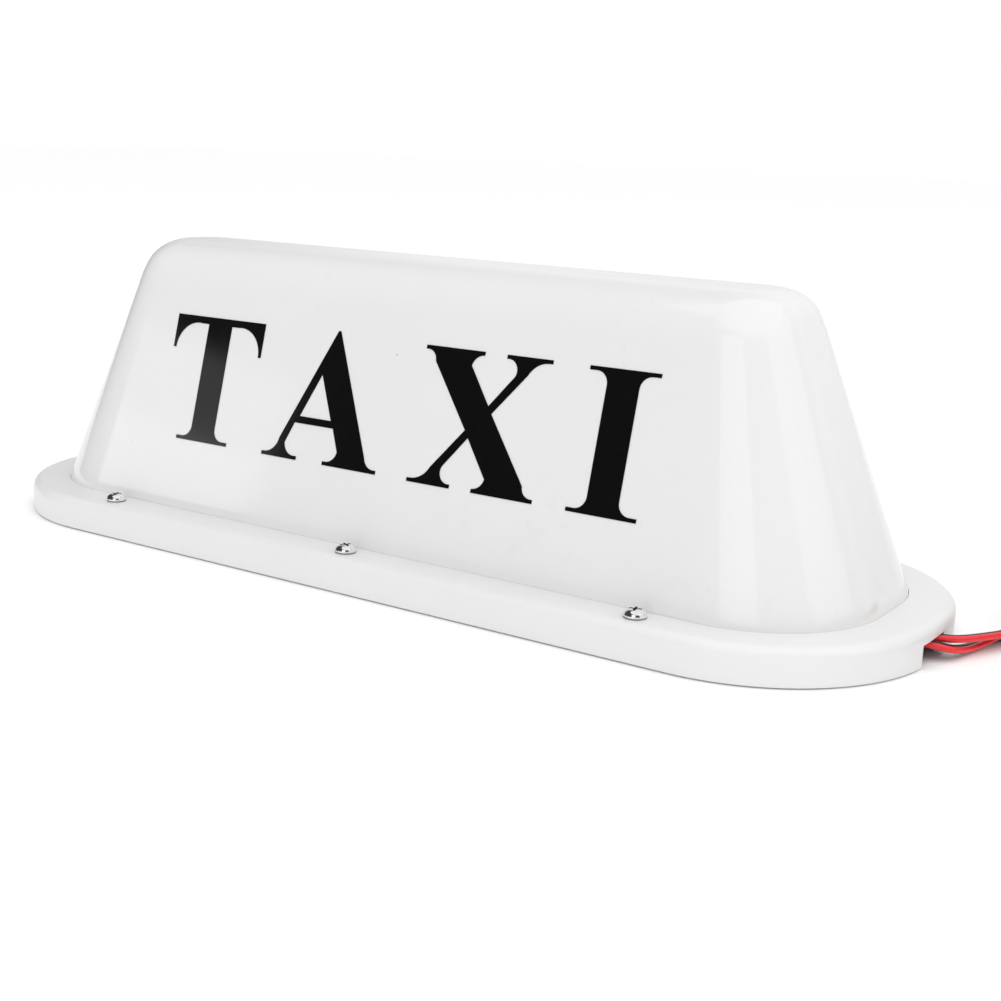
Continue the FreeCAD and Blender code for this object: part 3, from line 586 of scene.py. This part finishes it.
def wall_law(z, half, draft, edge_round, top):
    """Half size at height z: half - (z - rim) tan(draft) on the wall, then an arc of edge_round
    into the flat top, flat + sqrt(edge_round^2 - (z - arc centre)^2)."""
    lean = math.radians(draft)
    turn_z = top - edge_round * (1 - math.sin(lean))
    flat = half - (turn_z - RIM_TOP) * math.tan(lean) - edge_round * math.cos(lean)
    rise = np.clip(z - (top - edge_round), 0, edge_round)
    arc = flat + np.sqrt(np.maximum(edge_round ** 2 - rise ** 2, 0))
    return np.where(z <= turn_z, half - (z - RIM_TOP) * math.tan(lean), arc)


def rounded_ring(hx, hy, r, z, straight=24, corner=26):
    """Closed ring of a rounded rectangle, the same number of points on every ring: each corner
    is a quarter circle of radius r, and each side a straight stretch between two corners."""
    turn = np.linspace(0, math.pi / 2, corner, endpoint=False)
    run = np.linspace(0, 1, straight, endpoint=False)[:, None]
    centres = np.array([(1, 1), (-1, 1), (-1, -1), (1, -1)]) * (hx - r, hy - r)
    parts = []
    for k in range(4):
        here, after = centres[k], centres[(k + 1) % 4]
        a = turn + k * math.pi / 2
        b = (k + 1) * math.pi / 2
        tip = r * np.array([math.cos(b), math.sin(b)])
        parts.append(here + r * np.stack([np.cos(a), np.sin(a)], 1))
        parts.append((here + tip) * (1 - run) + (after + tip) * run)
    flat = np.concatenate(parts)
    return np.c_[flat, np.full(len(flat), z)] * MM


def dome_rings(inset):
    """Rings up the dome, inset from its outside: even steps up the wall, then even angles
    through the rounding. The corner radius runs straight from foot to top, less CORNER_EASE of
    what the rounding has taken off the face."""
    top = DOME_TOP - inset
    arc = FACE_ROUND - inset
    lean = math.radians(FACE_DRAFT)
    start = top - arc * (1 - math.sin(lean))
    z = np.r_[np.linspace(RIM_TOP, start, WALL_RINGS, endpoint=False),
              top - arc * (1 - np.sin(np.linspace(lean, math.pi / 2, ROUND_RINGS)))]
    hx = wall_law(z, FOOT[0] - inset / math.cos(math.radians(END_DRAFT)), END_DRAFT,
                  END_ROUND - inset, top)
    face = FOOT[1] - inset / math.cos(lean)
    hy = wall_law(z, face, FACE_DRAFT, arc, top)
    plain = face - (z - RIM_TOP) * math.tan(lean)
    r = FOOT[2] - inset + (TOP_CORNER - FOOT[2]) * (z - RIM_TOP) / (top - RIM_TOP)
    r = np.minimum(r - CORNER_EASE * (plain - hy), CORNER_MOST * hy)
    return [rounded_ring(*row) for row in zip(hx, hy, r, z)]


def dome():
    """The dome with its flange as one shell: down its inside, round the flange and up again."""
    inside = [size - DOME_WALL for size in FOOT]
    low, high = FLANGE_LEVELS
    rings = dome_rings(DOME_WALL)[::-1]
    rings += [rounded_ring(*inside, z) for z in (RIM_TOP - 0.5, low + HOLD, low)]
    rings += [rounded_ring(*FLANGE_EDGE, z) for z in (low, high)]
    rings += [rounded_ring(*FOOT, z) for z in (high, high + HOLD, RIM_TOP - 0.6)]
    rings += dome_rings(0.0)
    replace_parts(rings_piece("opal_dome_shell", rings, "opal_dome", sharp=35), "dome_cover")


dome()


# ---- plug spring and tie ------------------------------------------------------------------
SPRING_WIRE, SPRING_RADIUS, SPRING_TURNS = 0.35 * MM, 2.6 * MM, 6
SPRING_STEPS, WIRE_STEPS = 28, 10  # points round one turn and round the wire
TIE_THICK = 0.7 * MM
TIE_CORNER = 1.6


def contact_spring():
    """Open coil: a circle of the wire's radius carried round a helix about the plug's axis, at
    (X + R cos a, Y + pitch a, Z + R sin a)."""
    low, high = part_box("plug_spring")
    t = np.linspace(0, 1, SPRING_TURNS * SPRING_STEPS)
    angle = 2 * math.pi * SPRING_TURNS * t
    y = low.y + SPRING_WIRE + (high.y - low.y - 2 * SPRING_WIRE) * t
    out = np.stack([np.cos(angle), 0 * t, np.sin(angle)], 1)
    line = np.array([PLUG_X, 0, PLUG_Z]) * MM + SPRING_RADIUS * out
    line[:, 1] = y
    across = np.cross(directions(line), out)
    a = np.linspace(0, 2 * math.pi, WIRE_STEPS, endpoint=False)[None, :, None]
    rings = line[:, None] + SPRING_WIRE * (np.cos(a) * out[:, None] + np.sin(a) * across[:, None])
    piece = rings_piece("contact_spring", rings, "spring_steel", sharp=60)
    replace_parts(piece, "plug_spring")
    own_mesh(piece)


def coil_tie():
    """Hook-and-loop band: a flat strip carried round a rounded rectangle across both coils, as
    loop + x (1, 0, 0) + t out."""
    low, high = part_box("coil_tie")
    half_wide, half_y, half_z = (high - low) / 2
    half_thick = TIE_THICK / 2
    loop = rounded_ring((half_y - half_thick) / MM, (half_z - half_thick) / MM, TIE_CORNER, 0,
                        straight=6, corner=6)
    loop = np.roll(loop, 1, axis=1) + np.array((low + high) / 2)
    out = np.cross(directions(loop, closed=True), (1, 0, 0))
    section = [(x * half_wide, t * half_thick) for x, t in ((-1, -1), (1, -1), (1, 1), (-1, 1))]
    rings = np.stack([loop + (x, 0, 0) + out * t for x, t in section], 1)
    faces = ring_faces(len(loop), len(section), loop=True)
    piece = mesh_piece("hook_and_loop_tie", rings, faces, "tie_band", sharp=35)
    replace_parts(piece, "coil_tie")
    return piece


contact_spring()
TIE = coil_tie()


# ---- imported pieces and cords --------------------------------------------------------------
SLOTS = {row["node"]: row["material_slot"] for row in frame["record"]["subparts"]}

for node, piece in frame["nodes"].items():
    paint(piece, "inner_jacket" if node.endswith("_inner_lead") else SLOTS[node])
for lead, middle_line, exit_at in LEADS:
    [v * MM for v in exit_at]


# ---- floor and light ----------------------------------------------------------------------
FLOOR_HALF = 6.0
ROOM_LIGHT = 0.725                 # how bright the room is for matt surfaces
ROOM_FRONT, ROOM_BEHIND = 0.05, 0.85   # how bright it is where a gloss mirrors it
BEHIND_FROM, BEHIND_FULL = 1.4 / 3, 2.4 / 3    # Y of a direction, where dim turns to bright
SKY_LIGHT = (1.08, (0.20, -0.06, 0.97), 78)    # strength, direction, width in degrees
SOFT_BOXES = {                     # place, aim, width and height in metres, power in watts
    "left": ((-1.31, -1.20, 0.23), (-0.08, 0, 0.05), 0.32, 0.22, 0.34),
    "left_high": ((-1.31, -1.20, 0.405), (-0.08, 0, 0.05), 0.32, 0.13, 0.10),
    "front_right": ((0.43, -1.61, 0.75), (0.13, -0.04, 0.05), 1.04, 1.2, 4.0),
    "right_end": ((1.63, 0.24, 0.80), (0.15, 0, 0.05), 1.4, 1.1, 3.8),
}


def floor():
    s = FLOOR_HALF
    mesh = bpy.data.meshes.new("floor")
    mesh.from_pydata([(-s, -s, 0), (s, -s, 0), (s, s, 0), (-s, s, 0)], [], [(0, 1, 2, 3)])
    ground = bpy.data.objects.new("floor", mesh)
    bpy.context.scene.collection.objects.link(ground)
    f = Finish("pale_floor", Specular_IOR_Level=0.1)
    f.set(Base_Color=f.blend(f.noise(30, 3), (0.955, 0.955, 0.955), (0.970, 0.970, 0.970)),
          Roughness=0.9)
    mesh.materials.append(f.material)


def surroundings():
    """White all round; what glosses mirror is a white room behind and a dim one in front."""
    world = bpy.data.worlds.new("studio")
    bpy.context.scene.world = world
    world.use_nodes = True
    room = Nodes(world.node_tree)
    where = room.node("ShaderNodeTexCoord", {}, out="Generated")
    back = room.node("ShaderNodeSeparateXYZ", {}, where, out="Y")
    mirrored = back.over(BEHIND_FROM, BEHIND_FULL) * (ROOM_BEHIND - ROOM_FRONT) + ROOM_FRONT
    gloss = room.node("ShaderNodeLightPath", {}, out="Is Glossy Ray")
    seen = room.node("ShaderNodeLightPath", {}, out="Is Camera Ray")
    level = (gloss * mirrored + (1 - gloss) * ROOM_LIGHT).maths("MAXIMUM", seen)
    background = world.node_tree.nodes["Background"]
    room.plug_in(background.inputs["Color"], (1, 1, 1))
    room.plug_in(background.inputs["Strength"], level)


def lamp(name, kind, power):
    data = bpy.data.lights.new(name, kind)
    data.energy = power
    held = bpy.data.objects.new(name, data)
    bpy.context.scene.collection.objects.link(held)
    return held


def sky_light(strength, direction, width):
    sky = lamp("sky_light", "SUN", strength)
    sky.data.angle = math.radians(width)
    sky.rotation_euler = Vector(direction).to_track_quat("Z", "Y").to_euler()


def soft_box(name, at, aim, width, height, power):
    box = lamp(name, "AREA", power)
    box.data.shape = "RECTANGLE"
    box.data.size, box.data.size_y = width, height
    box.location = at
    box.rotation_euler = (Vector(aim) - Vector(at)).to_track_quat("-Z", "Y").to_euler()


floor()
surroundings()
sky_light(*SKY_LIGHT)
for box_name, box_setting in SOFT_BOXES.items():
    soft_box(box_name, *box_setting)
bpy.context.scene.view_settings.view_transform = "Standard"
